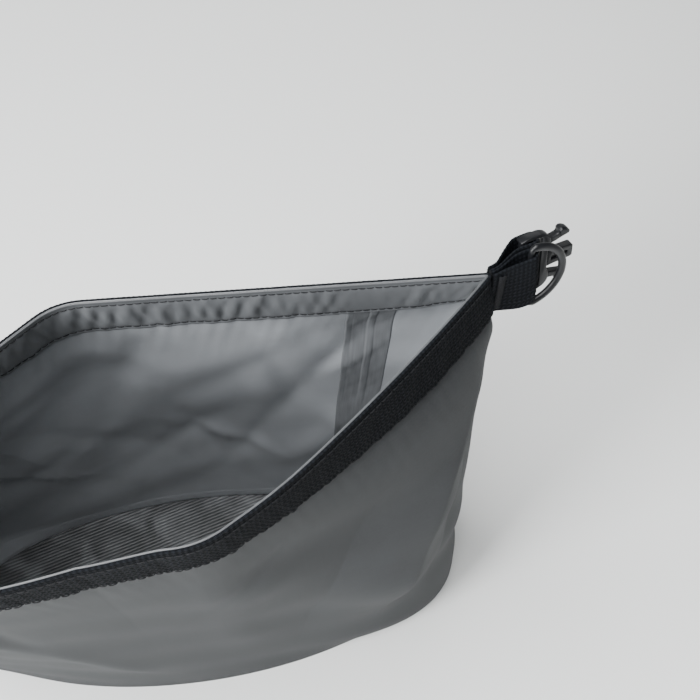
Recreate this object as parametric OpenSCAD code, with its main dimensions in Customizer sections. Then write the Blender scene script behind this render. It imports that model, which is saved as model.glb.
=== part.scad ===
// Roll-top dry bag, standing open on its oval base.
// Origin: centre of the base on the ground. +X along the bag's long side, +Z up.

/* [Base] */
// Length of the oval base
base_long = 270; // [250:1:280]
// Width of the oval base
base_short = 112; // [105:1:125]
// Squareness of the base oval, where 2 is an ellipse
base_square = 2; // [2:0.1:2.6]
// Angle of the base oval's long axis
base_turn = 8; // [0:1:12]
// Thickness of the base panel
base_t = 2; // [1.5:0.1:3]

/* [Wall] */
// Height of the rim above the ground
rim_height = 270; // [240:5:320]
// Thickness of the coated fabric wall
wall_t = 1.6; // [1.2:0.1:2.5]
// How late the wall takes the mouth's shape on its way up
wall_swell = 1.25; // [1:0.05:1.6]
// How far the wall's two ends swell outwards between the rim and the base
wall_bulge = 12; // [0:1:14]

/* [Mouth] */
// Corner to corner length of the open mouth
mouth_long = 288; // [270:1:300]
// Front to rear width of the open mouth
mouth_short = 112; // [100:1:120]
// Sideways shift of the front and rear bends
mouth_skew = 8; // [0:1:14]
// Angle of the mouth's long axis
mouth_turn = 25; // [10:1:30]
// How far the mouth leans to the front of the base
mouth_forward = 37; // [20:1:40]
// How far the mouth leans to the right of the base
mouth_side = 10; // [0:1:15]
// Radius of the front and rear bends of the rim
bend_r = 26; // [15:1:35]

/* [Webbing] */
// Width of the webbing
web_w = 25; // [23:0.5:25.5]
// Thickness of the webbing
web_t = 1.4; // [1.2:0.1:1.6]
// Distance from the mouth's corner to a loop's bar
loop_reach = 19.5; // [14:0.5:24]
// Gap between a webbing loop and the bar in it
loop_gap = 0.3; // [0.3:0.05:0.5]
// Angle at which the right tabs lean back
tab_lean = 10; // [0:1:12]

/* [Rings] */
// Radius of the D-ring's round section
ring_r = 1.4; // [1.3:0.1:1.5]
// Radius of the D-ring's bow at its centreline
ring_bow = 14.7; // [14.6:0.1:15.2]

/* [Buckles] */
// Radius of the buckle bars
bar_r = 1.5; // [1.4:0.1:1.6]
// Outer width of the buckle frames
frame_w = 31; // [30.5:0.5:32]
// Width of the slot for the webbing
slot_w = 26; // [25.6:0.2:26.4]
// Thickness of the male buckle
male_t = 4; // [3.6:0.2:4.4]
// Length of the male buckle's centre guide
guide_l = 12; // [9:0.5:14]
// Thickness of the female buckle
female_t = 9.6; // [9.4:0.2:11]

/* [Hidden] */
$fn = 40;

stations = 96;          // columns round the bag
fabric_shift = 20;      // girth from the base's right end to the line under the mouth's corner
bulge_turn = 17;         // where the swell is widest, to the front of the right corner
hem_t = 0.8;            // thickness of the folded hem inside the rim
tape_t = 0.5;           // thickness of the seam tapes
base_tape_h = 9;        // height of the tape round the base, above the panel
tape_first = 5;         // first and last column of the side seam tape
tape_last = 8;
thread_t = 0.6;         // size of a stitch row
row_inset = 2.5;        // stitch rows' distance from the webbing's edges
tab_root = 1.9;         // where a tab starts, outside the webbing at the rim's corner
buckle_back = 7;        // how far the buckle's bar is behind the ring's bar
lay_gap = 0.15;         // gap between two layers that lie on each other
panel_gap = 0.4;        // gap between the base panel's edge and the wall
prong_root_x = 11.5;    // flex point of a prong, from the buckle's bar
prong_root_z = 9.2;
prong_l = 9;
prong_t = 3.2;
flex_gap = 0.3;         // clearance round a prong's root
bartack_h = 21;
bartack_l = 3;

rim_z = rim_height;
hem_z = rim_z - web_w;
hem_in = -wall_t - lay_gap - hem_t;   // the hem's inner face, from the wall's outer one
base_tape_top = base_t + base_tape_h;
levels = [0, base_t / rim_z, base_tape_top / rim_z, 0.12, 0.26, 0.42, 0.58, 0.72, 0.83, 0.88, hem_z / rim_z, 1];

// ---- outlines, as closed lists of points ----

function sgn_pow(v, e) = sign(v) * pow(abs(v), e);
function oval(a, b, e) = [for (d = [0:2:358]) [a * sgn_pow(cos(d), 2 / e), b * sgn_pow(sin(d), 2 / e)]];
function turn(p, a) = [p[0] * cos(a) - p[1] * sin(a), p[0] * sin(a) + p[1] * cos(a)];

// A bend between straight sides: a quadratic curve from a to c round corner b
function bend(a, b, c, r) =
    let (u = (a - b) / norm(a - b), v = (c - b) / norm(c - b),
         half = acos(u * v) / 2, d = r / tan(half))
    [for (k = [0:0.125:1]) (1 - k) * (1 - k) * (b + u * d) + 2 * k * (1 - k) * b + k * k * (b + v * d)];

right_tip = [mouth_long / 2, 0];
rear_tip = [-mouth_skew, mouth_short / 2];
mouth_flat = concat([right_tip], bend(right_tip, rear_tip, -right_tip, bend_r),
                    [-right_tip], bend(-right_tip, -rear_tip, right_tip, bend_r));
mouth_centre = [mouth_side, -mouth_forward];
mouth_line = [for (p = mouth_flat) turn(p, mouth_turn) + mouth_centre];
base_line = [for (p = oval(base_long / 2, base_short / 2, base_square)) turn(p, base_turn)];

// n points at equal steps round a closed outline, from a start distance on
function steps_of(p) = [for (i = 0, s = 0; i <= len(p);
                             s = s + norm(p[(i + 1) % len(p)] - p[i % len(p)]), i = i + 1) s];
function evenly(p, n, start) =
    let (s = steps_of(p), m = len(p), total = s[m],
         tx = [for (i = [0:m]) [s[i], p[i % m][0]]],
         ty = [for (i = [0:m]) [s[i], p[i % m][1]]])
    [for (k = [0:n - 1]) let (d = (start + total * k / n) % total) [lookup(d, tx), lookup(d, ty)]];

base_ring = evenly(base_line, stations, fabric_shift);
mouth_ring = evenly(mouth_line, stations, 0);

// The wall's outer outline at a share t of the height, and its outward normals
function outward(ring, k) =
    let (n = len(ring), d = ring[(k + 1) % n] - ring[(k + n - 1) % n]) [d[1], -d[0]] / norm(d);
function straight_ring(t) = let (w = pow(t, wall_swell))
    [for (k = [0:stations - 1]) (1 - w) * base_ring[k] + w * mouth_ring[k]];
function bulge_at(t, k) = wall_bulge * pow(sin(180 * min(t * rim_z / hem_z, 1)), 0.6)
    * pow(cos(360 * k / stations + bulge_turn), 4);
function ring_at(t) = let (ring = straight_ring(t))
    [for (k = [0:stations - 1]) ring[k] + outward(ring, k) * bulge_at(t, k)];
// A point of the wall at column k and height share t, moved out by d
function wall_point(k, t, d) =
    let (ring = ring_at(t), p = ring[k % stations] + outward(ring, k % stations) * d) [p[0], p[1], t * rim_z];

// The wall's outline in plan at height z, moved out by d
function outline(z, d) =
    [for (k = [0:stations - 1]) let (p = wall_point(k, z / rim_z, d)) [p[0], p[1]]];

// ---- solids swept round the wall ----

// A closed solid through a list of equal cross-sections. Each is a closed loop of points that
// goes up the outside and down the inside, and both sides are split along the same diagonal.
module skin(sections, closed) {
    m = len(sections[0]);
    n = len(sections);
    last = closed ? n - 1 : n - 2;
    sides = [for (i = [0:last], j = [0:m - 1])
        let (a = i * m + j, b = i * m + (j + 1) % m, c = ((i + 1) % n) * m + (j + 1) % m, d = ((i + 1) % n) * m + j)
        each j < m / 2 ? [[a, b, c], [a, c, d]] : [[a, b, d], [b, c, d]]];
    ends = closed ? [] : [[for (j = [m - 1:-1:0]) j], [for (j = [0:m - 1]) (n - 1) * m + j]];
    polyhedron([for (s = sections) each s], concat(sides, ends), convexity = 6);
}

// A band between height shares lo and hi, from d_in to d_out off the wall's outer face
function band_loop(k, lo, hi, d_in, d_out) =
    [wall_point(k, lo, d_out), wall_point(k, hi, d_out), wall_point(k, hi, d_in), wall_point(k, lo, d_in)];
module band(first, last, lo, hi, d_in, d_out) {
    whole = last - first == stations;
    skin([for (k = [first:whole ? last - 1 : last]) band_loop(k, lo, hi, d_in, d_out)], whole);
}

module bag_wall() {
    n = len(levels);
    color("dimgray")
        skin([for (k = [0:stations - 1])
            concat([for (t = levels) wall_point(k, t, 0)],
                   [for (i = [n - 1:-1:0]) wall_point(k, levels[i], -wall_t)])], true);
}

module base_panel() {
    color("slategray") linear_extrude(base_t) polygon(outline(0, -wall_t - panel_gap));
}

module base_seam_tape() {
    color("gray") band(0, stations, base_t / rim_z, base_tape_top / rim_z,
                       -wall_t - lay_gap - tape_t, -wall_t - lay_gap);
}

module side_seam_tape() {
    color("gray")
        skin([for (k = [tape_first:tape_last])
            concat([for (i = [2:len(levels) - 2]) wall_point(k, levels[i], -wall_t)],
                   [for (i = [len(levels) - 2:-1:2]) wall_point(k, levels[i], -wall_t - tape_t)])], false);
}

module mouth_hem() {
    color("gray") band(0, stations, hem_z / rim_z, 1, hem_in, -wall_t - lay_gap);
}

// A row of thread on the hem's inner face, centred at height z
module stitch_row(z) {
    outer = hem_in - 2 * lay_gap;
    color("black") translate([0, 0, z - thread_t / 2])
        linear_extrude(thread_t) difference() {
            offset(delta = outer) polygon(outline(z, 0));
            offset(delta = outer - thread_t) polygon(outline(z, 0));
        }
}

module upper_stitch_row() stitch_row(rim_z - row_inset);
module lower_stitch_row() stitch_row(hem_z + row_inset);
module front_webbing() color("black") band(stations / 2, stations, hem_z / rim_z, 1, lay_gap, lay_gap + web_t);
module rear_webbing() color("black") band(0, stations / 2, hem_z / rim_z, 1, lay_gap, lay_gap + web_t);

// ---- tabs and hardware, drawn with +X outward from a corner of the mouth, centred on the webbing ----

module at_right_corner()
    translate([mouth_line[0][0], mouth_line[0][1], rim_z - web_w / 2])
        rotate([0, 0, mouth_turn]) rotate([-tab_lean, 0, 0]) children();

left_corner = turn(-right_tip, mouth_turn) + mouth_centre;
module at_left_corner()
    translate([left_corner[0], left_corner[1], rim_z - web_w / 2]) mirror([1, 0, 0]) children();

// A webbing loop round a bar: legs start at root_y and wrap the bar at [reach, bar_y]
module loop(root_y, bar_y, bar) {
    inner = bar + loop_gap;
    color("black")
        linear_extrude(web_w, center = true) difference() {
            hull() {
                translate([loop_reach, bar_y]) circle(inner + web_t);
                translate([tab_root, root_y - web_t]) square([0.5, 2 * web_t]);
            }
            hull() {
                translate([loop_reach, bar_y]) circle(inner);
                translate([loop_reach / 2, (bar_y + root_y) / 2]) circle(0.2);
            }
        }
}

// The dense stitching that holds a tab, on its front face
module bartack() {
    color("black") translate([tab_root + 1, -web_t - 0.6 - thread_t, -bartack_h / 2])
        cube([bartack_l, thread_t, bartack_h]);
}

module d_ring() {
    color([0.06, 0.06, 0.07]) translate([loop_reach, 0, 0]) {
        cylinder(h = 2 * (ring_bow + ring_r), r = ring_r, center = true);
        rotate([90, 0, 0]) rotate([0, 0, -90]) rotate_extrude(angle = 180)
            translate([ring_bow, 0]) circle(ring_r);
    }
}

// The frame that both buckles share: a bar and two side rails from x = -bar_r to x = end
module buckle_frame(end, thick) {
    rail = (frame_w - slot_w) / 2;
    cylinder(h = slot_w + rail, r = bar_r, center = true);
    for (s = [-1, 1])
        translate([0, 0, s * (slot_w / 2 + rail / 2)]) rotate([90, 0, 0])
            linear_extrude(thick, center = true) hull() {
                circle(rail / 2);
                translate([end - rail, -rail / 2]) square([rail, rail]);
            }
}

module at_bar() translate([loop_reach, buckle_back, 0]) children();

module male_frame() {
    shoulder_x = 8;
    shoulder_l = 4;
    guide_w = 8;
    guide_step = 0.4;
    rib_w = 2;
    color([0.05, 0.05, 0.06]) at_bar() {
        difference() {
            union() {
                buckle_frame(shoulder_x + 1, male_t);
                translate([shoulder_x, -male_t / 2, -frame_w / 2]) cube([shoulder_l, male_t, frame_w]);
            }
            for (s = [-1, 1]) translate([prong_root_x, 0, s * prong_root_z]) rotate([90, 0, 0])
                cylinder(h = male_t + 1, r = prong_t / 2 + flex_gap, center = true);
        }
        translate([shoulder_x + 3, -male_t / 2 + guide_step, -guide_w / 2])
            cube([guide_l, male_t - 2 * guide_step, guide_w]);
        translate([shoulder_x + 3, -male_t / 2, -rib_w / 2]) cube([guide_l - 2, male_t, rib_w]);
    }
}

// A flexing prong with its hooked head, upper for s = 1 and lower for s = -1
module prong(s) {
    color([0.05, 0.05, 0.06]) at_bar()
        translate([prong_root_x, 0, s * prong_root_z]) rotate([90, 0, 0]) {
            cylinder(h = prong_t, r = prong_t / 2, center = true);
            linear_extrude(prong_t, center = true)
                polygon([[0, s * prong_t / 2], [prong_l * 0.5, s * prong_t / 2], [prong_l * 0.5, s * 4.5],
                         [prong_l * 0.62, s * 4.7], [prong_l, s * 1.8], [prong_l + 0.4, s * 0.6],
                         [prong_l, -s * 0.2], [prong_l * 0.5, -s * 0.9], [0, -s * prong_t / 2]]);
        }
}

module female_buckle_shell() {
    slot_end = 6;
    body_l = 21;
    cavity_t = 5.4;
    cavity_w = 29.6;
    body_w = 34;
    corner_r = 3;
    window_l = 9;
    frame_t = 5;
    color([0.05, 0.05, 0.06]) at_left_corner() at_bar() {
        buckle_frame(slot_end + 2, frame_t);
        difference() {
            hull() for (s = [-1, 1], e = [0, 1])
                translate([slot_end + corner_r + e * (body_l - 2 * corner_r), 0, s * (body_w / 2 - corner_r - e)])
                    rotate([90, 0, 0]) cylinder(h = female_t, r = corner_r, center = true);
            translate([slot_end + 3, -cavity_t / 2, -cavity_w / 2]) cube([body_l, cavity_t, cavity_w]);
            translate([slot_end + 6, -cavity_t / 2, -body_w / 2 - 1]) cube([window_l, cavity_t, body_w + 2]);
        }
    }
}

module right_ring_loop() at_right_corner() loop(0, 0, ring_r);
module right_buckle_loop() at_right_corner() loop(2 * web_t + lay_gap, buckle_back, bar_r);
module right_bartack() at_right_corner() bartack();
module right_d_ring() at_right_corner() d_ring();
module male_buckle_frame() at_right_corner() male_frame();
module male_prong_upper() at_right_corner() prong(1);
module male_prong_lower() at_right_corner() prong(-1);

module left_ring_loop() at_left_corner() loop(0, 0, ring_r);
module left_buckle_loop() at_left_corner() loop(2 * web_t + lay_gap, buckle_back, bar_r);
module left_bartack() at_left_corner() bartack();
module left_d_ring() at_left_corner() d_ring();

bag_wall();
base_panel();
base_seam_tape();
side_seam_tape();
mouth_hem();
upper_stitch_row();
lower_stitch_row();
front_webbing();
rear_webbing();
right_ring_loop();
right_buckle_loop();
right_bartack();
right_d_ring();
male_buckle_frame();
male_prong_upper();
male_prong_lower();
left_ring_loop();
left_buckle_loop();
left_bartack();
left_d_ring();
female_buckle_shell();
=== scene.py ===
import math

import bmesh
import bpy
import numpy as np
from mathutils import Matrix, Vector


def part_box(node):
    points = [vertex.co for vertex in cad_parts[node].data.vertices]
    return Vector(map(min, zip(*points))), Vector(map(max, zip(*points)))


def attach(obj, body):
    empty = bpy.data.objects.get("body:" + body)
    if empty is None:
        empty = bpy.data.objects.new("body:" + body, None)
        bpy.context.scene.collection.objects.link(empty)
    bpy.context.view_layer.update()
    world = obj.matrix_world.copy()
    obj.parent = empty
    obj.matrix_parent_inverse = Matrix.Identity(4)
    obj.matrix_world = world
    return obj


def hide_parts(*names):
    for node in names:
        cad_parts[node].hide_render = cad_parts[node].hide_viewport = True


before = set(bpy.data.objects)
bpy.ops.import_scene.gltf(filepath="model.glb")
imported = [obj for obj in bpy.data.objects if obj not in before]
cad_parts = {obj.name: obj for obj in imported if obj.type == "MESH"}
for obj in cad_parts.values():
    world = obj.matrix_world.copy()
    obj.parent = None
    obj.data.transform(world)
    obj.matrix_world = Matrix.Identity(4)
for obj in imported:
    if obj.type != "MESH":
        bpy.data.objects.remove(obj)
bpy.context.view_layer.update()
rng = np.random.default_rng(11)

# Lengths in this script are millimetres until a mesh is made
MM = 0.001
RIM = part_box("bag_wall")[1][2] / MM
WEB_W, WEB_T = 25.0, 1.4            # the rim's webbing
HEM_Z = RIM - WEB_W                 # its lower edge
STITCH_IN = 2.5                     # from the webbing's edges in to its stitch rows
WALL_T, HEM_T = 0.55, 0.45
SEAM_PLACE = 42.0                   # the wall's seam, round the rim from the right corner
MOUTH_LONG = 144.0                  # from the mouth's middle to each corner
REACH, BUCKLE_BACK = 19.5, 7.0      # out from a corner to the bars, and back to the buckle's bar
BAR_R, BAR_HALF = 1.45, 13.4        # a buckle half's bar
MOUTH_TURN, TAB_LEAN = math.radians(25), math.radians(10)
MOUTH_CENTRE = np.array([10.0, -37.0])


# ---------------------------------------------------------------- camera, lights, floor

camera = bpy.data.objects.new("camera", bpy.data.cameras.new("camera"))
camera.data.lens, camera.data.sensor_width = 36 * 1000 / 700, 36
camera.location = (0.088, -0.2044, 0.5693)
camera.rotation_euler = (math.radians(90 - 57), 0, 0)
bpy.context.scene.collection.objects.link(camera)
bpy.context.scene.camera = camera


def area_light(name, place, target, size, power):
    light = bpy.data.lights.new(name, "AREA")
    light.shape = "RECTANGLE"
    light.size, light.size_y = size
    light.energy = power
    o = bpy.data.objects.new(name, light)
    o.location = place
    o.rotation_euler = (Vector(target) - Vector(place)).to_track_quat("-Z", "Y").to_euler()
    bpy.context.scene.collection.objects.link(o)


area_light("key", (-0.25, -0.25, 1.35), (0, 0.02, 0.15), (1.1, 0.8), 38)
area_light("fill", (-1.15, -1.0, 0.95), (0, 0, 0.2), (0.6, 0.6), 50)
area_light("back", (0.3, 1.3, 1.0), (0.05, 0, 0.2), (1.0, 0.5), 3)


def studio_world():
    """A soft sky: pale at the horizon, dimmer overhead where the softboxes are."""
    world = bpy.data.worlds.new("studio")
    bpy.context.scene.world = world
    world.use_nodes = True
    tree = world.node_tree
    background = tree.nodes["Background"]
    background.inputs["Color"].default_value = (0.93, 0.95, 0.94, 1)
    place = tree.nodes.new("ShaderNodeTexCoord")
    axes = tree.nodes.new("ShaderNodeSeparateXYZ")
    band = tree.nodes.new("ShaderNodeMapRange")
    band.inputs["From Min"].default_value, band.inputs["From Max"].default_value = 0.06, 0.35
    band.inputs["To Min"].default_value, band.inputs["To Max"].default_value = 0.6, 0.1
    tree.links.new(place.outputs["Generated"], axes.inputs["Vector"])
    tree.links.new(axes.outputs["Z"], band.inputs["Value"])
    tree.links.new(band.outputs["Result"], background.inputs["Strength"])


studio_world()


# ---------------------------------------------------------------- materials

class Nodes:
    """A short way to write a node material."""

    def __init__(self, name, colour, rough, **more):
        self.material = bpy.data.materials.new(name)
        self.material.use_nodes = True
        self.tree = self.material.node_tree
        self.shader = self.tree.nodes["Principled BSDF"]
        self.shader.inputs["Base Color"].default_value = (*colour, 1)
        self.shader.inputs["Roughness"].default_value = rough
        for socket, value in more.items():
            self.shader.inputs[socket.replace("_", " ")].default_value = value

    def link(self, a, b):
        self.tree.links.new(a, b)
        return b

    def new(self, kind, **settings):
        node = self.tree.nodes.new(kind)
        for key, value in settings.items():
            if hasattr(node, key):
                setattr(node, key, value)
            else:
                node.inputs[key].default_value = value
        return node

    def cloth(self, scale=(1, 1, 1), turn=0):
        """The piece's cloth coordinates: millimetres along it and across it."""
        attribute = self.new("ShaderNodeAttribute", attribute_name="cloth")
        mapping = self.new("ShaderNodeMapping")
        mapping.inputs["Scale"].default_value = scale
        mapping.inputs["Rotation"].default_value = (0, 0, turn)
        self.link(attribute.outputs["Vector"], mapping.inputs["Vector"])
        return mapping.outputs["Vector"]

    def solid(self, scale=(1000, 1000, 1000)):
        """Object coordinates in millimetres."""
        place = self.new("ShaderNodeTexCoord")
        mapping = self.new("ShaderNodeMapping")
        mapping.inputs["Scale"].default_value = scale
        self.link(place.outputs["Object"], mapping.inputs["Vector"])
        return mapping.outputs["Vector"]

    def noise(self, vector, scale, detail=2.0, distortion=0.0):
        node = self.new("ShaderNodeTexNoise", Scale=scale, Detail=detail, Distortion=distortion)
        self.link(vector, node.inputs["Vector"])
        return node.outputs["Fac"]

    def wave(self, vector, scale, direction="X", distortion=0.0):
        node = self.new("ShaderNodeTexWave", wave_type="BANDS", bands_direction=direction)
        node.inputs["Scale"].default_value = scale
        node.inputs["Distortion"].default_value = distortion
        self.link(vector, node.inputs["Vector"])
        return node.outputs["Fac"]

    def math(self, operation, a, b, c=None):
        node = self.new("ShaderNodeMath", operation=operation)
        for i, v in enumerate((a, b, c)):
            if v is None:
                continue
            if isinstance(v, (int, float)):
                node.inputs[i].default_value = v
            else:
                self.link(v, node.inputs[i])
        return node.outputs[0]

    def ramp(self, value, stops):
        node = self.new("ShaderNodeValToRGB")
        while len(node.color_ramp.elements) < len(stops):
            node.color_ramp.elements.new(0.5)
        for e, (at, colour) in zip(node.color_ramp.elements, stops):
            e.position, e.color = at, (*colour, 1)
        self.link(value, node.inputs["Fac"])
        return node.outputs["Color"]

    def spread(self, value, low, high):
        node = self.new("ShaderNodeMapRange")
        node.inputs["To Min"].default_value, node.inputs["To Max"].default_value = low, high
        self.link(value, node.inputs["Value"])
        return node.outputs["Result"]

    def colour(self, value, stops):
        self.link(self.ramp(value, stops), self.shader.inputs["Base Color"])

    def rough(self, value, low, high):
        self.link(self.spread(value, low, high), self.shader.inputs["Roughness"])

    def bump(self, height, distance, strength=1.0):
        """Adds a bump of this height in millimetres on top of any earlier one."""
        node = self.new("ShaderNodeBump")
        node.inputs["Strength"].default_value = strength
        node.inputs["Distance"].default_value = distance * MM
        self.link(height, node.inputs["Height"])
        normal = self.shader.inputs["Normal"]
        if normal.is_linked:
            self.link(normal.links[0].from_socket, node.inputs["Normal"])
        self.link(node.outputs["Normal"], normal)


def grey(v, tint=(1.0, 1.0, 1.0)):
    return tuple(v * t for t in tint)


COOL = (0.95, 1.0, 1.06)


def outer_fabric():
    m = Nodes("outer_fabric", grey(0.045, COOL), 0.62, Specular_IOR_Level=0.1)
    ribs = m.wave(m.cloth(turn=math.radians(38)), 0.66, "X")
    cross = m.wave(m.cloth(turn=math.radians(38)), 0.66, "Y")
    grid = m.math("MAXIMUM", m.wave(m.cloth(), 0.045, "X"), m.wave(m.cloth(), 0.045, "Y"))
    ripstop = m.math("POWER", grid, 14.0)
    cloud = m.noise(m.cloth(), 0.05, 4.0)
    fine = m.noise(m.cloth(), 0.9, 3.0)
    m.colour(m.math("MULTIPLY_ADD", fine, 0.35, m.math("MULTIPLY", cloud, 0.65)),
             [(0.3, grey(0.038, COOL)), (0.7, grey(0.054, COOL))])
    m.rough(cloud, 0.52, 0.7)
    m.bump(m.math("MULTIPLY", ribs, cross), 0.05, 0.7)
    m.bump(ripstop, 0.03, 0.5)
    m.bump(fine, 0.04, 0.4)
    return m.material


def inner_coating(name, tone):
    m = Nodes(name, grey(tone, COOL), 0.42, Specular_IOR_Level=0.5, Coat_Weight=0.15, Coat_Roughness=0.35)
    cloud = m.noise(m.cloth(), 0.03, 3.0, 0.6)
    fine = m.noise(m.cloth(), 1.6, 3.0)
    m.colour(m.math("MULTIPLY_ADD", fine, 0.25, m.math("MULTIPLY", cloud, 0.75)),
             [(0.3, grey(0.88 * tone, COOL)), (0.7, grey(1.1 * tone, COOL))])
    m.rough(m.noise(m.cloth(), 0.06, 4.0), 0.28, 0.42)
    m.bump(m.noise(m.cloth((1, 0.35, 1), turn=0.6), 0.12, 3.0), 0.25, 0.5)
    m.bump(fine, 0.03, 0.5)
    return m.material


def ribbed_fabric():
    m = Nodes("base_fabric", grey(0.12, COOL), 0.5)
    # painted light: the stripes keep the ribs' own pitch and phase, so the colour is darker in the grooves as
    # painted shade and lighter on the crests; the patches are painted highlights, lighter where the cloth is
    # also glossier
    painted_highlight_patches = m.noise(m.cloth(), 0.045, 2.0, 0.8)
    painted_rib_shading = m.wave(m.cloth(), 0.5 * 0.314, "Y")
    shade = m.math("MULTIPLY", painted_highlight_patches, m.spread(painted_rib_shading, 0.72, 1.12))
    m.colour(shade, [(0.28, grey(0.035, COOL)), (0.5, grey(0.075, COOL)), (0.66, grey(0.16, COOL))])
    m.rough(painted_highlight_patches, 0.55, 0.4)
    m.bump(m.noise(m.cloth((6, 0.6, 1)), 1.0, 2.0), 0.05, 0.6)
    return m.material


def tape():
    m = Nodes("seam_tape", grey(0.22, COOL), 0.55, Specular_IOR_Level=0.35)
    streak = m.noise(m.cloth((1.2, 0.04, 1)), 1.0, 3.0)
    m.colour(streak, [(0.3, grey(0.125, COOL)), (0.7, grey(0.16, COOL))])
    m.rough(m.noise(m.cloth(), 0.2, 3.0), 0.48, 0.62)
    m.bump(streak, 0.06, 0.6)
    m.bump(m.noise(m.cloth(), 2.0, 2.0), 0.03, 0.5)
    return m.material


def webbing():
    m = Nodes("webbing", (0.008, 0.009, 0.011), 0.75, Specular_IOR_Level=0.06)
    # painted highlights: the along and across bands keep the weave's pitch, so the colour is lighter on the
    # yarn crossings and darker between them, as painted light and shade; the wear noise is random tone
    along = m.wave(m.cloth(), 0.5 / 0.95 * 0.31, "X", 0.4)
    across = m.wave(m.cloth(), 0.5 / 0.9 * 0.31, "Y", 0.4)
    wear = m.noise(m.cloth(), 0.9, 3.0)
    m.colour(m.math("MULTIPLY_ADD", m.math("MULTIPLY", along, across), 0.55, m.math("MULTIPLY", wear, 0.45)),
             [(0.15, (0.003, 0.0035, 0.0045)), (0.85, (0.015, 0.017, 0.021))])
    m.rough(wear, 0.6, 0.85)
    m.bump(m.wave(m.cloth(turn=math.radians(40)), 0.9, "X", 0.5), 0.12, 0.8)
    m.bump(m.noise(m.cloth(), 2.5, 3.0), 0.1, 0.8)
    return m.material


def thread():
    m = Nodes("thread", (0.012, 0.013, 0.015), 0.6, Specular_IOR_Level=0.3)
    ply = m.wave(m.solid(), 1.4, "DIAGONAL", 0.5)
    m.colour(ply, [(0.2, (0.003, 0.0035, 0.0045)), (0.8, (0.012, 0.013, 0.016))])
    m.bump(ply, 0.06, 0.8)
    return m.material


def moulded_plastic():
    m = Nodes("black_plastic", (0.006, 0.0065, 0.008), 0.4, Specular_IOR_Level=0.35)
    grain = m.noise(m.solid(), 2.2, 3.0)
    m.colour(m.noise(m.solid(), 0.25, 3.0), [(0.3, (0.004, 0.0045, 0.0055)), (0.7, (0.009, 0.0095, 0.011))])
    m.rough(m.noise(m.solid(), 0.4, 4.0), 0.3, 0.45)
    m.bump(grain, 0.02, 0.6)
    return m.material


MATERIALS = {
    "outer_fabric": outer_fabric(),
    "inner_coating": inner_coating("inner_coating", 0.33),
    "hem_coating": inner_coating("hem_coating", 0.15),
    "rim_fold": inner_coating("rim_fold", 0.10),
    "base_fabric": ribbed_fabric(),
    "seam_tape": tape(),
    "webbing": webbing(),
    "thread": thread(),
    "black_plastic": moulded_plastic(),
}


# ---------------------------------------------------------------- mesh helpers

def finish_piece(name, mesh, materials, body, replaces):
    """Makes the object, gives it its materials, and rides it on its body."""
    o = bpy.data.objects.new(name, mesh)
    bpy.context.scene.collection.objects.link(o)
    for m in materials:
        mesh.materials.append(MATERIALS[m])
    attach(o, body)
    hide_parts(*replaces)
    return o


def grid_mesh(name, points, s, t, closed_s=False, faces_of=None):
    """A mesh through points[i, j], closed along j. s and t are cloth coordinates, one longer where closed."""
    n, m = points.shape[:2]
    i, j = np.meshgrid(np.arange(n if closed_s else n - 1), np.arange(m), indexing="ij")
    i, j = i.ravel(), j.ravel()
    a, b = i * m + j, ((i + 1) % n) * m + j
    c, d = ((i + 1) % n) * m + (j + 1) % m, i * m + (j + 1) % m
    faces = np.stack([a, b, c, d], 1).tolist()
    if not closed_s:
        faces += [list(range(m)), [(n - 1) * m + k for k in range(m - 1, -1, -1)]]
    mesh = bpy.data.meshes.new(name)
    mesh.from_pydata((points.reshape(-1, 3) * MM).tolist(), [], faces)
    cs = np.stack([s[i], s[i + 1], s[i + 1], s[i]], 1)
    ct = np.stack([t[j], t[j], t[j + 1], t[j + 1]], 1)
    corner = np.zeros((len(mesh.loops), 3), np.float32)
    corner[: cs.size, 0], corner[: cs.size, 1] = cs.ravel(), ct.ravel()
    attribute = mesh.attributes.new("cloth", "FLOAT_VECTOR", "CORNER")
    attribute.data.foreach_set("vector", corner.ravel())
    mesh.polygons.foreach_set("use_smooth", np.ones(len(mesh.polygons), bool))
    if faces_of is not None:
        index = np.zeros(len(mesh.polygons), np.int32)
        index[: len(i)] = faces_of(i, j)
        mesh.polygons.foreach_set("material_index", index)
    mesh.update()
    return mesh


def set_cloth(mesh, values):
    """Gives every face corner of a grid mesh new cloth coordinates."""
    mesh.attributes["cloth"].data.foreach_set("vector", values.ravel())


def in_frame(points, m):
    """Points in a corner's frame, moved into the row frame. Both are in millimetres."""
    world = points.reshape(-1, 3) * MM @ np.array(m.to_3x3()).T + np.array(m.translation)
    return (world / MM).reshape(points.shape)


def tube_faces(start, rings, sides, mirrored=False):
    """The faces of a closed tube whose rings begin at this index. A mirrored one is wound the other way."""
    faces = []
    for a in range(rings - 1):
        for b in range(sides):
            c = (b + 1) % sides
            low, high = start + a * sides, start + (a + 1) * sides
            quad = [low + b, low + c, high + c, high + b]
            faces.append(quad[::-1] if mirrored else quad)
    faces.append([start + b for b in range(sides)])
    faces.append([start + (rings - 1) * sides + b for b in range(sides - 1, -1, -1)])
    return faces


def outward_faces(o):
    """Turns a closed piece's faces outwards."""
    b = bmesh.new()
    b.from_mesh(o.data)
    bmesh.ops.recalc_face_normals(b, faces=b.faces)
    b.to_mesh(o.data)
    b.free()
    return o


def smoothstep(x, a, b):
    k = np.clip((np.asarray(x, float) - a) / (b - a), 0, 1)
    return k * k * (3 - 2 * k)


def unit(v):
    return v / np.maximum(np.linalg.norm(v, axis=-1, keepdims=True), 1e-12)


def ripple(x, y, waves):
    """A sum of waves, each (wavelength, direction in degrees, phase, height)."""
    total = 0
    for length, direction, phase, height in waves:
        a = math.radians(direction)
        total = total + height * np.sin(2 * math.pi * (x * math.cos(a) + y * math.sin(a)) / length + phase)
    return total


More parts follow.
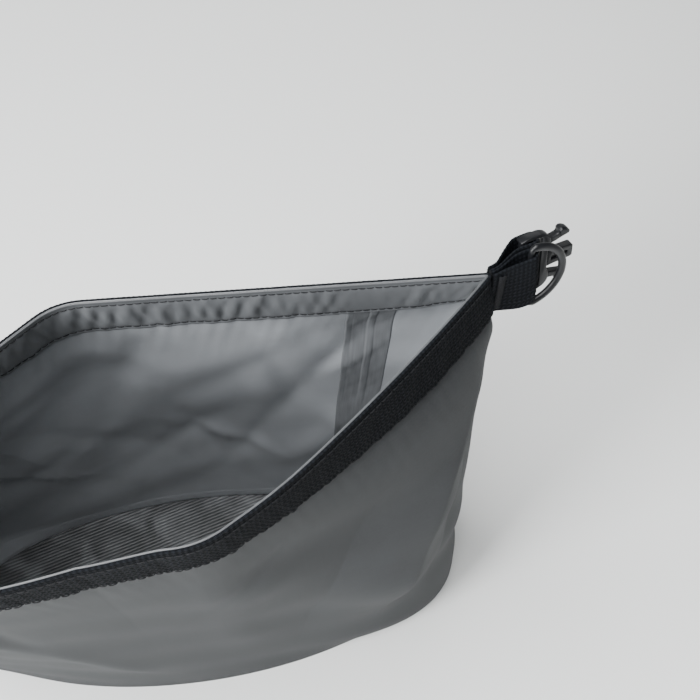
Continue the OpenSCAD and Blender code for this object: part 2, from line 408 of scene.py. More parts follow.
def periodic_noise(x, period, wavelengths, seed):
    """Smooth noise along a closed line, from waves that fit it a whole number of times."""
    r = np.random.default_rng(seed)
    total = np.zeros_like(x, dtype=float)
    for w in wavelengths:
        n = max(1, round(period / w))
        total = total + np.sin(2 * math.pi * n * x / period + r.uniform(0, 2 * math.pi)) * r.uniform(0.6, 1.0)
    return total / len(wavelengths)


# ---------------------------------------------------------------- the wall's surface

def turned(p, angle):
    c, s = math.cos(angle), math.sin(angle)
    return np.stack([p[..., 0] * c - p[..., 1] * s, p[..., 0] * s + p[..., 1] * c], -1)


def bend(a, b, c, r):
    u, v = unit(a - b), unit(c - b)
    d = r / math.tan(math.acos(float(u @ v)) / 2)
    k = np.linspace(0, 1, 33)[:, None]
    return (1 - k) ** 2 * (b + u * d) + 2 * k * (1 - k) * b + k * k * (b + v * d)


def evenly(p, n, start):
    q = np.vstack([p, p[:1]])
    s = np.r_[0, np.cumsum(np.linalg.norm(np.diff(q, axis=0), axis=1))]
    at = (start + s[-1] * np.arange(n) / n) % s[-1]
    return np.stack([np.interp(at, s, q[:, 0]), np.interp(at, s, q[:, 1])], 1), s[-1]


COLUMNS, ROWS = 1232, 300
angle = np.linspace(0, 2 * math.pi, 1440, endpoint=False)
oval = turned(np.stack([135 * np.cos(angle), 56 * np.sin(angle)], 1), math.radians(8))
tip, bow = np.array([MOUTH_LONG, 0.0]), np.array([-8.0, 56.0])
rhombus = np.vstack([[tip], bend(tip, bow, -tip, 26), [-tip], bend(-tip, -bow, tip, 26)])
mouth, GIRTH = evenly(turned(rhombus, MOUTH_TURN) + MOUTH_CENTRE, COLUMNS, 0)
base, _ = evenly(oval, COLUMNS, 20)


def smooth_columns(p, times):
    for _ in range(times):
        p = 0.25 * np.roll(p, 1, 0) + 0.5 * p + 0.25 * np.roll(p, -1, 0)
    return p


mouth = smooth_columns(mouth, 8)
S = GIRTH * np.arange(COLUMNS) / COLUMNS          # millimetres round the rim from the right corner
HEIGHTS = np.r_[np.linspace(0, HEM_Z - 6, ROWS - 60, endpoint=False), np.linspace(HEM_Z - 6, RIM, 60)]


def around(s, centre):
    """Signed distance round the bag from a place on it."""
    return (s - centre + GIRTH / 2) % GIRTH - GIRTH / 2


def ridge(x, width):
    """A fold's section: a soft peak with straight flanks."""
    return 1 / (1 + (x / width) ** 2)


def random_crease():
    """A soft crease: its place, height, lean, length, width and size, drawn in this order."""
    place = rng.uniform(0, GIRTH)
    height = rng.uniform(40, 235) ** 0.5 * 235 ** 0.5
    lean = rng.uniform(-1.1, 1.1)
    length, width = rng.uniform(22, 60), rng.uniform(5, 13)
    return place, height, lean, length, width, rng.uniform(0.7, 1.8) * rng.choice((-1, 1))


CREASES = [random_crease() for _ in range(34)]


def folds(s, z):
    """How far the fabric stands proud of its smooth shape, for place s round it and height z."""
    depth = RIM - z
    below = smoothstep(depth, 24, 50)
    foot = smoothstep(z, 0, 30)
    out = np.zeros(np.broadcast(s, z).shape)
    for corner in (0.0, GIRTH / 2):                # the two ends carry the same folds
        f = around(s, corner)
        # the hard crease that runs from the corner down to the front, with a flat face on each side
        line = -92 * (1 - np.exp(-np.maximum(depth - 30, 0) / 100))
        off = f - line
        tent = 1 - np.sqrt(off ** 2 + 2.2) / np.where(off > 0, 6 + 20 * smoothstep(depth, 50, 130), 42)
        out += 11.0 * np.maximum(tent, 0) * smoothstep(depth, 34, 120) * smoothstep(z, 30, 120)
        # the short second crease beside it
        second = -8 - 0.85 * np.maximum(depth - 50, 0)
        out += 1.3 * ridge(f - second, 2.6) * smoothstep(depth, 48, 62) * (1 - smoothstep(depth, 72, 92))
        # a slack fold behind the corner
        back = 26 + 0.4 * depth
        out += 2.4 * ridge(f - back, 9) * below * smoothstep(z, 20, 90)
        # the lower edge of the webbing kicks out at the corner, and so does the fabric under it
        out += 2.2 * np.exp(-(f / 16) ** 2) * smoothstep(depth, 0, 24) * (1 - smoothstep(depth, 28, 50))
        # the end's foot bags out over the floor
        out += 2.4 * np.exp(-((f + 22) / 30) ** 2) * smoothstep(z, 60, 100) * (1 - smoothstep(z, 150, 190))
        out += 9.5 * np.exp(-((f + 33) / 44) ** 2) * smoothstep(z, 0, 18) ** 0.7 * (1 - smoothstep(z, 14, 84))
    # broad slack in the panels
    out += ripple(s, z, [(GIRTH / 5, 28, 0.6, 0.9), (GIRTH / 7, 52, 2.1, 0.7), (96, 62, 4.0, 0.55),
                         (61, 38, 1.2, 0.35), (43, 70, 3.1, 0.22)]) * foot * smoothstep(depth, 22, 70)
    # single soft creases, more of them near the mouth
    for place, height, lean, length, width, size in CREASES:
        x, y = around(s, place), z - height
        along = x * math.sin(lean) + y * math.cos(lean)
        over = x * math.cos(lean) - y * math.sin(lean)
        clear = smoothstep(np.abs(around(s, GIRTH - 45)), 60, 90)
        shape = size * clear * np.exp(-(along / length) ** 2 - (over / width) ** 2)
        out += shape * smoothstep(depth, 25, 45) * smoothstep(z, 10, 90)
    # puckers that hang from the lower stitch row
    pull = np.exp(-np.maximum(depth - 22, 0) / 16) * smoothstep(depth, 3, 12)
    flat = 1 - ridge(around(s, SEAM_PLACE), 14)
    out += pull * flat * (0.55 * periodic_noise(s + 0.25 * depth, GIRTH, (11, 14, 19, 26), 3)
                          + 0.25 * periodic_noise(s - 0.2 * depth, GIRTH, (6, 8), 4))
    return out


def wall_columns(z):
    """The wall's smooth outline at height z: points and outward normals, all columns."""
    w = (z / RIM) ** 1.25
    p = (1 - w) * base + w * mouth
    d = np.roll(p, -1, 0) - np.roll(p, 1, 0)
    n = unit(np.stack([d[:, 1], -d[:, 0]], 1))
    swell = 12 * max(math.sin(math.pi * min(z / HEM_Z, 1)), 0) ** 0.6
    swell += 5.0 * math.sin(math.pi * float(np.clip((z - 190) / (RIM - 190), 0, 1))) ** 1.5
    bulge = swell * np.cos(2 * math.pi * S / GIRTH + math.radians(17)) ** 4
    # the front panel's left half bows out, as slack fabric does, and its right half less, with a dip between
    from_left, from_right = S - GIRTH / 2, GIRTH - S
    bulge = bulge + 11 * w * np.sin(math.pi * np.clip(from_left / 150, 0, 1)) ** 1.5
    bulge = bulge + 4.6 * w * np.sin(math.pi * np.clip(from_right / 185, 0, 1)) ** 0.8
    bulge = bulge - 2.8 * w * np.exp(-((from_left - 162) / 22) ** 2)
    return p + n * bulge[:, None], n


def make_surface():
    rows, normals = [], []
    for z in HEIGHTS:
        p, n = wall_columns(z)
        rows.append(np.c_[p, np.full(COLUMNS, z)])
        normals.append(np.c_[n, np.zeros(COLUMNS)])
    p, n = np.array(rows), np.array(normals)
    p = p + n * folds(S[None, :], HEIGHTS[:, None])[..., None]
    du = np.roll(p, -1, 1) - np.roll(p, 1, 1)
    dv = np.gradient(p, HEIGHTS, axis=0)
    n = unit(np.cross(du, dv))
    for _ in range(3):
        n = unit(0.25 * np.roll(n, 1, 1) + 0.5 * n + 0.25 * np.roll(n, -1, 1))
    return p, n


SURFACE, NORMALS = make_surface()


def on_wall(s, z, d):
    """Points of the wall's outer face at place s and height z, moved out by d."""
    s, z, d = np.broadcast_arrays(np.asarray(s, float), np.asarray(z, float), np.asarray(d, float))
    u = (s / GIRTH * COLUMNS) % COLUMNS
    i = np.floor(u).astype(int) % COLUMNS
    fu = (u - np.floor(u))[..., None]
    v = np.interp(z, HEIGHTS, np.arange(ROWS))
    j = np.clip(np.floor(v).astype(int), 0, ROWS - 2)
    fv = (v - j)[..., None]

    def mix(a):
        k = (i + 1) % COLUMNS
        below = (1 - fu) * a[j, i] + fu * a[j, k]
        above = (1 - fu) * a[j + 1, i] + fu * a[j + 1, k]
        return (1 - fv) * below + fv * above

    return mix(SURFACE) + unit(mix(NORMALS)) * d[..., None]


# ---------------------------------------------------------------- the bag's fabric pieces

def wall_piece():
    step = 2
    s = S[::step]
    z = np.r_[np.linspace(0.3, HEM_Z, 150, endpoint=False), np.linspace(HEM_Z, RIM - 0.3, 26)]
    rim = np.array([RIM + 0.1])
    up = on_wall(s[:, None], z[None, :], 0.0)
    frayed = 0.16 * periodic_noise(s, GIRTH, (2.6, 3.7, 6.1, 9), 31)
    up[:, -4:, 2] += frayed[:, None]
    top = on_wall(s[:, None], rim, -WALL_T / 2) + [0, 0, 0.3]
    top[:, 0, 2] += frayed
    down = on_wall(s[:, None], z[::-1][None, :], -WALL_T)
    loops = np.concatenate([up, top, down], 1)
    m = loops.shape[1]
    mesh = grid_mesh("bag_wall_fabric", loops, np.r_[s, GIRTH], np.r_[z, RIM, z[::-1], 0.3],
                     closed_s=True,
                     faces_of=lambda i, j: np.where(j < len(z) - 2, 0, np.where(j < len(z) + 4, 2, 1)))
    materials = ["outer_fabric", "inner_coating", "rim_fold"]
    return outward_faces(finish_piece("bag_wall_fabric", mesh, materials, "bag", ["bag_wall"]))


def pucker(s, z):
    """The hem's own puckers: slanted tucks between the two stitch rows."""
    across = np.clip((z - HEM_Z - STITCH_IN) / (WEB_W - 2 * STITCH_IN), 0, 1)
    between = np.sin(math.pi * across) ** 0.7
    smooth = 1 - 0.9 * ridge(around(s, SEAM_PLACE), 16)
    tucks = (0.75 * periodic_noise(s + 3 * across, GIRTH, (7, 9, 12, 16, 23), 8)
             + 0.4 * periodic_noise(s - 5 * across, GIRTH, (5, 6.5, 10), 9))
    sharp = np.sign(tucks) * np.abs(tucks) ** 0.8
    return (0.6 + 1.3 * sharp * smooth) * between


def hem_piece():
    s = np.linspace(0, GIRTH, 1000, endpoint=False)
    z = np.r_[HEM_Z, HEM_Z + 0.6, np.linspace(HEM_Z + 1.3, RIM - 1.2, 24), RIM - 0.5, RIM - 0.05]
    low_row, high_row = z - HEM_Z - STITCH_IN, z - RIM + STITCH_IN
    stitched = 0.45 * (np.exp(-(low_row / 0.7) ** 2) + np.exp(-(high_row / 0.7) ** 2))
    turn = 0.35 * smoothstep(z, RIM - 1.4, RIM)
    inner = -WALL_T - 0.1 - HEM_T - pucker(s[:, None], z[None, :]) * 0.9 + stitched * 0.5 + turn
    edge = 0.25 * periodic_noise(s, GIRTH, (6, 9, 14), 12)
    height = z[None, :] + edge[:, None] * (z[None, :] < HEM_Z + 0.5)
    face = on_wall(s[:, None], height, inner)
    back = on_wall(s[:, None], z[::-1][None, :], -WALL_T + 0.08)
    loops = np.concatenate([face, back], 1)
    mesh = grid_mesh("mouth_hem_fabric", loops, np.r_[s, GIRTH], np.r_[z, z[::-1], HEM_Z], closed_s=True,
                     faces_of=lambda i, j: ((j >= len(z) - 3) & (j <= len(z) + 3)).astype(int))
    return outward_faces(finish_piece("mouth_hem_fabric", mesh, ["hem_coating", "rim_fold"], "bag",
                                      ["mouth_hem"]))


def stitch_rings(s, length=2.6, radius=0.2):
    """One stitch's rings, as place, height and radius: it dives into the cloth at both ends."""
    rings = []
    for k in np.linspace(-1, 1, 9):
        high = radius * (0.8 - 1.4 * abs(k) ** 4)
        rings.append((s + k * length / 2, high, radius * (1 - 0.35 * abs(k) ** 4)))
    return rings


def stitch_row(name, z, node, inner_face, outer_face):
    """A row of separate stitches inside the rim and the same row outside it."""
    vertices, faces = [], []
    pitch = GIRTH / round(GIRTH / 3.1)
    sides = 7
    ring = np.linspace(0, 2 * math.pi, sides, endpoint=False)
    for side, face in ((-1, inner_face), (1, outer_face)):
        for k in range(round(GIRTH / pitch)):
            s0 = (k + 0.5) * pitch + rng.uniform(-0.15, 0.15)
            at_tab = min(abs(around(s0, 0)), abs(around(s0, GIRTH / 2))) < 4
            if side > 0 and at_tab:
                continue
            tilt = rng.uniform(-0.12, 0.12)
            start = len(vertices)
            path = stitch_rings(s0)
            for x, high, r in path:
                zz = z + tilt * (x - s0)
                d = face(x, zz) + side * high
                d = d + side * r * np.cos(ring)
                vertices.extend(on_wall(np.full(sides, x), zz + r * np.sin(ring), d))
            faces += tube_faces(start, len(path), sides, mirrored=side > 0)
    mesh = bpy.data.meshes.new(name)
    mesh.from_pydata((np.array(vertices) * MM).tolist(), [], faces)
    mesh.polygons.foreach_set("use_smooth", np.ones(len(mesh.polygons), bool))
    return outward_faces(finish_piece(name, mesh, ["thread"], "bag", [node]))


def hem_face(s, z):
    return -WALL_T - 0.12 - HEM_T - float(pucker(np.array([s]), np.array([z]))[0]) * 0.9


def web_face(s, z):
    return WEB_T + 0.18


def weave(s, t, width):
    """The webbing's woven relief: herringbone cords along it, packed in ribs across it."""
    ribs = 13
    v = t / width * ribs
    lane = np.floor(v)
    across = np.abs(np.sin(math.pi * v))
    slope = np.where(lane % 2 == 0, 1.0, -1.0)
    cord = np.sin(2 * math.pi * (s / 1.9 + slope * (v - lane) * 0.5))
    edge = smoothstep(t, 0, 1.2) * smoothstep(width - t, 0, 1.2)
    return (0.17 * cord * across ** 0.6 + 0.10 * across) * edge


def selvedge(s, phase=0.0):
    """The webbing's edge: small even loops."""
    return 0.08 * np.abs(np.sin(math.pi * s / 1.4 + phase)) + 0.04 * np.sin(s / 3.7 + phase)


def rim_webbing(name, s0, s1, node):
    s = np.linspace(s0, s1, 1100)
    rows = np.linspace(0, WEB_W, 72)
    low = HEM_Z + 0.25 - selvedge(s)[:, None]
    high = RIM + 0.15 + selvedge(s, 1.0)[:, None]
    share = rows[None, :] / WEB_W
    z = low + (high - low) * share
    crown = 1 - (2 * share - 1) ** 8
    low_row, high_row = rows - STITCH_IN, rows - WEB_W + STITCH_IN
    stitched = np.exp(-(low_row / 0.55) ** 2) + np.exp(-(high_row / 0.55) ** 2)
    front = 0.25 + (WEB_T - 0.3) * (0.45 + 0.55 * crown) + weave(s[:, None], rows[None, :], WEB_W)
    front = front - 0.22 * stitched[None, :]
    outer = on_wall(s[:, None], z, front)
    inner = on_wall(s[:, None], z[:, ::-1][:, ::6], 0.06)
    loops = np.concatenate([outer, inner], 1)
    t = np.r_[rows, rows[::-1][::6], 0]
    o = finish_piece(name, grid_mesh(name, loops, s, t), ["webbing"], "bag", [node])
    return outward_faces(o)


def side_tape():
    width = 20.0
    across = np.r_[0, 0.25, np.linspace(0.6, width - 0.6, 68), width - 0.25, width]
    z = np.linspace(3, HEM_Z + 2, 230)
    drift = 0.12 * np.sin(z / 17.0) + 0.1 * np.sin(z / 7.3 + 1)
    edge = smoothstep(across, 0, 0.5) * smoothstep(width - across, 0, 0.5)
    seam = smoothstep(across, 7.2, 8.0) * (1 - smoothstep(across, 10.2, 11.0))
    groove = ridge(across - 8.0, 0.3) + ridge(across - 10.6, 0.3) + 0.5 * ridge(across - 17.2, 0.35)
    thick = 0.28 * edge + 0.38 * seam - 0.14 * groove * edge
    crinkle = 0.05 * np.sin(z[:, None] / 2.1 + across[None, :] * 0.7)
    crinkle = crinkle + 0.05 * np.sin(z[:, None] / 3.7 - across[None, :] * 1.1)
    s = SEAM_PLACE - width / 2 + across[None, :] + drift[:, None]
    face = on_wall(s, z[:, None], -WALL_T - 0.03 - thick[None, :] - crinkle * edge[None, :])
    back = on_wall(s[:, ::-1][:, ::8], z[:, None], -WALL_T + 0.1)
    loops = np.concatenate([face, back], 1)
    mesh = grid_mesh("side_seam_tape_strip", loops, z, np.r_[across, across[::-1][::8], 0])
    corner = np.zeros(len(mesh.loops) * 3, np.float32)
    mesh.attributes["cloth"].data.foreach_get("vector", corner)
    set_cloth(mesh, corner.reshape(-1, 3)[:, [1, 0, 2]])
    return outward_faces(finish_piece("side_seam_tape_strip", mesh, ["seam_tape"], "bag", ["side_seam_tape"]))


def base_tape():
    s = np.linspace(0, GIRTH, 620, endpoint=False)
    z = np.r_[2.0, 2.3, np.linspace(3, 10.4, 14), 10.8, 11.0]
    edge = smoothstep(z, 2, 2.6) * smoothstep(11 - z, 0, 1.6)
    crinkle = 0.05 * periodic_noise(s[:, None] + z[None, :], GIRTH, (5, 7, 11), 21)
    wander = 0.3 * periodic_noise(s, GIRTH, (40, 70), 22)
    height = z[None, :] + wander[:, None] * (z[None, :] > 6)
    face = on_wall(s[:, None], height, -WALL_T - 0.02 - (0.12 + crinkle) * edge[None, :])
    back = on_wall(s[:, None], z[::-1][None, ::4], -WALL_T + 0.1)
    loops = np.concatenate([face, back], 1)
    name = "base_seam_tape_strip"
    mesh = grid_mesh(name, loops, np.r_[s, GIRTH], np.r_[z, z[::-1][::4], 2], closed_s=True)
    return outward_faces(finish_piece(name, mesh, ["inner_coating"], "bag", ["base_seam_tape"]))


def base_piece():
    """The ribbed base: fine parallel ribs, laid slanting, in the oval that the wall stands round."""
    outline, outward = wall_columns(1.0)
    edge = outline - outward * (WALL_T + 0.35)
    middle = edge.mean(0)
    slant = math.radians(24)
    local = turned(edge - middle, -slant)
    pitch = 2.0
    y0, y1 = local[:, 1].min(), local[:, 1].max()
    per_rib = 6
    v = np.arange(y0 + 0.15, y1 - 0.1, pitch / per_rib)
    columns = 90
    share = np.linspace(0, 1, columns)
    top = []
    q = np.vstack([local, local[:1]])
    for y in v:
        a, b = q[:-1], q[1:]
        hit = (a[:, 1] - y) * (b[:, 1] - y) < 0
        k = (y - a[hit, 1]) / (b[hit, 1] - a[hit, 1])
        xs = a[hit, 0] + k * (b[hit, 0] - a[hit, 0])
        x = xs.min() + (xs.max() - xs.min()) * share
        top.append(np.stack([x, np.full(columns, y)], 1))
    top = np.array(top)
    x, y = top[..., 0], top[..., 1]
    rib = 0.4 * np.abs(np.sin(math.pi * y / pitch)) ** 0.8
    sag = ripple(x, y, [(70, 10, 0.3, 0.25), (48, 65, 1.9, 0.22), (33, 120, 0.9, 0.12)])
    inside = 1 - np.abs(2 * share - 1)[None, :] ** 10
    height = 2.0 + rib + (sag + 0.5) * 0.7 * inside
    flat = turned(top, slant) + middle
    up = np.concatenate([flat, height[..., None]], -1)
    down = np.concatenate([flat, np.full_like(height, 0.05)[..., None]], -1)[:, ::-1][:, ::9]
    loops = np.concatenate([up, down], 1)
    mesh = grid_mesh("base_panel_fabric", loops, v, np.zeros(loops.shape[1] + 1))
    corner = np.zeros((len(mesh.loops), 3), np.float32)
    index = np.zeros(len(mesh.loops), np.int32)
    mesh.loops.foreach_get("vertex_index", index)
    flat_points = np.concatenate([top, top[:, ::-1][:, ::9]], 1).reshape(-1, 2)
    corner[:, :2] = flat_points[index]
    set_cloth(mesh, corner)
    return outward_faces(finish_piece("base_panel_fabric", mesh, ["base_fabric"], "bag", ["base_panel"]))


wall = wall_piece()
hem = hem_piece()
upper_row = stitch_row("upper_stitches", RIM - STITCH_IN, "upper_stitch_row", hem_face, web_face)
lower_row = stitch_row("lower_stitches", HEM_Z + STITCH_IN, "lower_stitch_row", hem_face, web_face)
front_band = rim_webbing("front_webbing_strip", GIRTH / 2 - 0.6, GIRTH + 0.6, "front_webbing")
rear_band = rim_webbing("rear_webbing_strip", -0.6, GIRTH / 2 + 0.6, "rear_webbing")
side_strip = side_tape()
foot_strip = base_tape()
floor_panel = base_piece()


# ---------------------------------------------------------------- tabs and hardware

def corner_frame(side):
    """A corner's frame: millimetres outward, backward and up from the middle of the webbing."""
    sign = 1 if side == "right" else -1
    corner = turned(np.array([MOUTH_LONG * sign, 0.0]), MOUTH_TURN) + MOUTH_CENTRE
    place = Matrix.Translation((*(corner * MM), (RIM - WEB_W / 2) * MM))
    if side == "right":
        return place @ Matrix.Rotation(MOUTH_TURN, 4, "Z")
    return place @ Matrix.Diagonal((-1, 1, 1, 1))


def tab_strip(name, side, path, node, lean_from, lean_to, half=WEB_W / 2):
    """A folded webbing tab along this centreline in the corner's frame. It leans back as it goes out."""
    path = np.array(path, float)
    d = np.r_[0, np.cumsum(np.linalg.norm(np.diff(path, axis=0), axis=1))]
    n = max(60, int(d[-1] / 0.42))
    at = np.linspace(0, d[-1], n)
    p = np.stack([np.interp(at, d, path[:, 0]), np.interp(at, d, path[:, 1])], 1)
    for _ in range(10):
        p[1:-1] = 0.25 * p[:-2] + 0.5 * p[1:-1] + 0.25 * p[2:]
    tangent = unit(np.gradient(p, axis=0))
    normal = np.stack([tangent[:, 1], -tangent[:, 0]], 1)
    rows = np.linspace(0, 2 * half, 64)
    share = rows / (2 * half)
    crown = 1 - (2 * share - 1) ** 8
    half_t = 0.62
    reach = smoothstep(p[:, 0], lean_from, lean_to)
    lean = (TAB_LEAN if side == "right" else 0.0) * reach
    z = rows - half
    edge = selvedge(at)

    def layer(sign):
        thick = half_t * (0.4 + 0.6 * crown)[None, :] + weave(at[:, None], rows[None, :], 2 * half)
        zz = z[None, :] * (1 + (edge[:, None] - 0.2) / half * (np.abs(2 * share - 1) ** 20)[None, :])
        xy = p[:, None, :] + normal[:, None, :] * (sign * thick)[..., None]
        y = xy[..., 1] + zz * np.tan(lean)[:, None]
        return np.stack([xy[..., 0], y, zz * np.cos(lean)[:, None]], -1)

    loops = np.concatenate([layer(1), layer(-1)[:, ::-1]], 1)
    mesh = grid_mesh(name, in_frame(loops, corner_frame(side)), at, np.r_[rows, rows[::-1], 0])
    return outward_faces(finish_piece(name, mesh, ["webbing"], "bag", [node]))


def loop_path(root_x, root_y, bar_x, bar_y, radius, stretch=0.0, spread=0.75):
    """Out along the front leg, round the bar, and back along the rear leg."""
    end = bar_x + stretch
    near = end - 5 - stretch / 2
    turn = np.linspace(0.05, math.pi - 0.05, 24)
    arc = [(end + radius * math.sin(a), bar_y - radius * math.cos(a)) for a in turn]
    front = [(root_x, root_y - spread), (root_x + 4, root_y - spread - 0.1), (near, bar_y - radius + 0.1)]
    rear = [(near, bar_y + radius - 0.1), (root_x + 4, root_y + spread + 0.1), (root_x, root_y + spread)]
    return front + arc + rear


def bartack_piece(name, side, node, x, y):
    """Dense zigzag stitching across a tab."""
    vertices, faces = [], []
    sides, r = 6, 0.24
    ring = np.linspace(0, 2 * math.pi, sides, endpoint=False)
    zig = []
    n = 58
    for k in range(n + 1):
        zig.append((x + (1.5 if k % 2 else -1.5) + rng.uniform(-0.12, 0.12), -10.3 + 20.6 * k / n))
    for (xa, za), (xb, zb) in zip(zig[:-1], zig[1:]):
        start = len(vertices)
        for k in np.linspace(0, 1, 6):
            bulge = 0.22 * math.sin(math.pi * k)
            xk, zk = xa + (xb - xa) * k, za + (zb - za) * k
            for a in ring:
                vertices.append((xk, y - bulge - r * math.cos(a), zk + r * math.sin(a)))
        faces += tube_faces(start, 6, sides)
    points = in_frame(np.array(vertices), corner_frame(side))
    mesh = bpy.data.meshes.new(name)
    mesh.from_pydata((points * MM).tolist(), [], faces)
    mesh.polygons.foreach_set("use_smooth", np.ones(len(mesh.polygons), bool))
    return outward_faces(finish_piece(name, mesh, ["thread"], "bag", [node]))


def hardware_frame(side):
    m = corner_frame(side)
    return m @ Matrix.Rotation(-TAB_LEAN, 4, "X") if side == "right" else m


def ring_piece(name, side, node, body):
    """A moulded D-ring: a straight bar and a bow, with a slightly flattened section."""
    r, bow = 1.4, 14.7
    path = []
    for a in np.linspace(-math.pi / 2, math.pi / 2, 57):
        path.append((REACH + bow * math.cos(a), bow * math.sin(a)))
    bar = [(REACH, z) for z in np.linspace(bow, -bow, 34)[1:-1]]
    p = np.array(path + bar)
    for _ in range(5):
        p = 0.25 * np.roll(p, 1, 0) + 0.5 * p + 0.25 * np.roll(p, -1, 0)
    tangent = unit(np.roll(p, -1, 0) - np.roll(p, 1, 0))
    normal = np.stack([tangent[:, 1], -tangent[:, 0]], 1)
    ring = np.linspace(0, 2 * math.pi, 24, endpoint=False)
    pts = []
    for c, nrm in zip(p, normal):
        on_bow = c[0] > REACH + 1.5
        ra = r * (1.0 if on_bow else 0.92)
        radial = np.cos(ring) * ra * (1.22 if on_bow else 1.0)
        # the mould's parting line
        part = 0.035 * np.exp(-(np.sin(ring) / 0.1) ** 2)
        proud = radial + part * np.sign(radial)
        pts.append(np.stack([c[0] + nrm[0] * proud, np.sin(ring) * ra, c[1] + nrm[1] * proud], 1))
    pts = in_frame(np.array(pts), hardware_frame(side))
    mesh = grid_mesh(name, pts, np.arange(len(p) + 1.0), np.arange(len(ring) + 1.0), closed_s=True)
    return outward_faces(finish_piece(name, mesh, ["black_plastic"], body, [node]))


def plate(outlines, thick, bevel, place):
    """A moulded plate with rounded edges, from outlines in the (outward, up) plane, as mesh data."""
    curve = bpy.data.curves.new("plate", "CURVE")
    curve.dimensions, curve.fill_mode = "2D", "BOTH"
    curve.extrude, curve.bevel_depth, curve.bevel_resolution = thick / 2 - bevel, bevel, 2
    curve.offset = -bevel
    for points in outlines:
        spline = curve.splines.new("POLY")
        spline.points.add(len(points) - 1)
        for q, (x, y) in zip(spline.points, points):
            q.co = (x, y, 0, 1)
        spline.use_cyclic_u = True
    o = bpy.data.objects.new("plate", curve)
    bpy.context.scene.collection.objects.link(o)
    bpy.context.view_layer.update()
    mesh = bpy.data.meshes.new_from_object(o.evaluated_get(bpy.context.evaluated_depsgraph_get()))
    bpy.data.objects.remove(o)
    # curve's X is outward, its Y is up, its Z is the plate's thickness along the corner frame's Y
    mesh.transform(Matrix(((1, 0, 0, 0), (0, 0, 1, 0), (0, 1, 0, 0), (0, 0, 0, 1))))
    mesh.transform(Matrix.Scale(MM, 4))
    mesh.transform(place)
    return mesh


def rounded(points, radius=0.8, steps=5):
    """A closed outline with its corners rounded."""
    out = []
    n = len(points)
    for i in range(n):
        a, b, c = (np.array(points[(i + k) % n], float) for k in (-1, 0, 1))
        u, v = unit(a - b), unit(c - b)
        r = min(radius, 0.45 * np.linalg.norm(a - b), 0.45 * np.linalg.norm(c - b))
        for k in np.linspace(0, 1, steps):
            out.append(tuple((1 - k) ** 2 * (b + u * r) + 2 * k * (1 - k) * b + k * k * (b + v * r)))
    return out


def rod(a, b, radius, place, sides=20):
    """A rounded bar from a to b in the corner frame, as mesh data."""
    a, b = np.array(a, float), np.array(b, float)
    axis = unit(b - a)
    u = unit(np.cross(axis, [0.3, 1, 0.2]))
    v = np.cross(axis, u)
    ring = np.linspace(0, 2 * math.pi, sides, endpoint=False)
    pts = []
    for k in np.linspace(0, 1, 12):
        pts.append(a + (b - a) * k + radius * (np.cos(ring)[:, None] * u + np.sin(ring)[:, None] * v))
    return grid_mesh("rod", in_frame(np.array(pts), place), np.arange(12.0), np.arange(sides + 1.0))


def joined(name, meshes, body, nodes):
    """Joins the mesh data into one piece."""
    b = bmesh.new()
    for m in meshes:
        b.from_mesh(m)
    for f in b.faces:
        f.smooth = True
        f.material_index = 0
    bmesh.ops.remove_doubles(b, verts=b.verts, dist=2e-6)
    bmesh.ops.recalc_face_normals(b, faces=b.faces)
    mesh = bpy.data.meshes.new(name)
    b.to_mesh(mesh)
    b.free()
    mesh.set_sharp_from_angle(angle=math.radians(38))
    return finish_piece(name, mesh, ["black_plastic"], body, nodes)


def male_buckle():
    place = hardware_frame("right") @ Matrix.Translation((REACH * MM, BUCKLE_BACK * MM, 0))
    rail = 1.6
    half = 14.6
    frame_out = rounded([(-1.5, half - 0.9), (1.5, half), (7.5, half), (10.2, half - 1.2),
                         (12.2, half - 3.6), (12.2, 6.6), (11.2, 5.2), (11.2, -5.2), (12.2, -6.6),
                         (12.2, -half + 3.6), (10.2, -half + 1.2), (7.5, -half),
                         (1.5, -half), (-1.5, -half + 0.9), (-1.5, -half + rail), (-0.6, -half + rail + 0.3),
                         (-0.6, half - rail - 0.3), (-1.5, half - rail)], 1.1)
    slot = half - rail
    slot_hole = rounded([(1.2, slot), (8.0, slot), (8.0, -slot), (1.2, -slot)], 0.8)
    parts = [plate([frame_out, slot_hole], 4.0, 0.55, place)]
    parts.append(rod((0, 0, -BAR_HALF), (0, 0, BAR_HALF), BAR_R, place))
    guide = rounded([(10.8, 4.0), (13.5, 3.6), (22.2, 3.2), (23.0, 2.6),
                     (23.0, -2.6), (22.2, -3.2), (13.5, -3.6), (10.8, -4.0)], 0.7)
    groove = rounded([(13.0, 1.1), (20.6, 0.9), (20.6, -0.9), (13.0, -1.1)], 0.6)
    parts.append(plate([guide, groove], 3.4, 0.4, place))
    web = rounded([(12.0, 1.4), (21.4, 1.2), (21.4, -1.2), (12.0, -1.4)], 0.5)
    parts.append(plate([web], 1.6, 0.3, place))
    return joined("male_buckle_moulding", parts, "male_buckle", ["male_buckle_frame"])


def prong_piece(name, sign, body, node):
    """A prong with its catch: sign is 1 for the upper one and -1 for the lower one."""
    place = hardware_frame("right") @ Matrix.Translation((REACH * MM, BUCKLE_BACK * MM, 0))
    outline = [(11.2, 10.6), (13.0, 10.8), (15.6, 11.4), (15.9, 13.2), (17.2, 13.9), (19.4, 12.9),
               (20.9, 11.0), (20.6, 9.8), (18.4, 9.3), (16.0, 8.6), (13.2, 7.8), (11.2, 7.8)]
    catch = [(15.9, 12.9), (17.2, 13.7), (19.2, 12.7), (20.4, 11.0), (19.6, 10.2), (16.2, 9.7)]
    arm = plate([rounded([(x, sign * z) for x, z in outline], 0.9)], 3.2, 0.5, place)
    head = plate([rounded([(x, sign * z) for x, z in catch], 0.7)], 4.2, 0.6, place)
    return joined(name, [arm, head], body, [node])


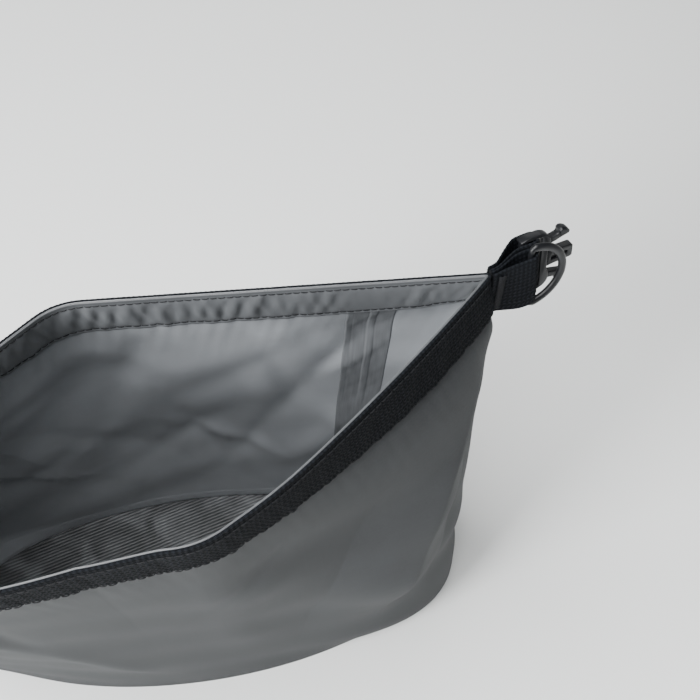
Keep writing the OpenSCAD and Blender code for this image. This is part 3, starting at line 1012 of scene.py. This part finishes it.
def female_buckle():
    place = hardware_frame("left") @ Matrix.Translation((REACH * MM, BUCKLE_BACK * MM, 0))
    half = 15.5
    frame_out = rounded([(-1.5, half), (7.5, half), (7.5, -half), (-1.5, -half)], 1.0)
    rail = 2.5
    slot = half - rail
    slot_hole = rounded([(1.3, slot), (6.2, slot), (6.2, -slot), (1.3, -slot)], 0.7)
    parts = [plate([frame_out, slot_hole], 4.6, 0.5, place)]
    parts.append(rod((0, 0, -BAR_HALF), (0, 0, BAR_HALF), BAR_R, place))
    shell = rounded([(6.4, 15.2), (8.5, 16.7), (14, 17), (24.5, 16), (27, 14.4), (27, 4.5), (25.4, 3.4),
                     (25.4, -3.4), (27, -4.5), (27, -14.4), (24.5, -16), (14, -17), (8.5, -16.7),
                     (6.4, -15.2)], 1.6)
    for y in (-3.75, 3.75):
        parts.append(plate([shell], 2.1, 0.6, place @ Matrix.Translation((0, y * MM, 0))))
    deep = 6.2
    root_wall = [(6.6, 13.4), (6.6, 16.6), (12.0, 16.8), (12.0, 15.0), (9.0, 14.6), (9.0, 13.4)]
    tip_wall = [(21.2, 14.9), (21.2, 16.2), (26.2, 15.0), (26.2, 14.2)]
    for sign in (-1, 1):
        parts.append(plate([rounded([(x, sign * z) for x, z in root_wall], 0.5)], deep, 0.3, place))
        parts.append(plate([rounded([(x, sign * z) for x, z in tip_wall], 0.4)], deep, 0.3, place))
    back_wall = rounded([(6.6, 15), (8.9, 15), (8.9, -15), (6.6, -15)], 0.4)
    parts.append(plate([back_wall], deep, 0.3, place))
    # a moulded grip of shallow bars on both faces
    for k in range(5):
        x = 12.0 + 2.1 * k
        for y in (-4.95, 4.95):
            half_bar = 6.2 - 0.5 * k
            parts.append(rod((x, y * 0.965, -half_bar), (x, y * 0.965, half_bar), 0.36, place, 12))
    return joined("female_buckle_moulding", parts, "female_buckle", ["female_buckle_shell"])


SLACK = {"right": 4.2, "left": 1.8}     # how far each buckle's fold reaches past its bar
for side in ("right", "left"):
    ring_path = loop_path(1.2, 0.0, REACH, 0.0, 2.35)
    buckle_path = loop_path(1.4, 2.6, REACH, BUCKLE_BACK, 2.6, SLACK[side])
    tab_strip(f"{side}_ring_tab", side, ring_path, f"{side}_ring_loop", 1.0, 16.0)
    tab_strip(f"{side}_buckle_tab", side, buckle_path, f"{side}_buckle_loop", 1.0, 16.0)
    bartack_piece(f"{side}_bartack_stitches", side, f"{side}_bartack", 5.0, -1.75)
    ring_piece(f"{side}_ring_moulding", side, f"{side}_d_ring", f"{side}_ring")
male_buckle()
prong_piece("upper_prong_moulding", 1, "prong_upper", "male_prong_upper")
prong_piece("lower_prong_moulding", -1, "prong_lower", "male_prong_lower")
female_buckle()


# ---------------------------------------------------------------- floor

floor_mesh = bpy.data.meshes.new("floor")
floor_mesh.from_pydata([(-6, -6, 0), (6, -6, 0), (6, 6, 0), (-6, 6, 0)], [], [(0, 1, 2, 3)])
floor_look = Nodes("floor", (0.82, 0.835, 0.83), 0.95)
floor_mesh.materials.append(floor_look.material)
floor_object = bpy.data.objects.new("floor", floor_mesh)
bpy.context.scene.collection.objects.link(floor_object)
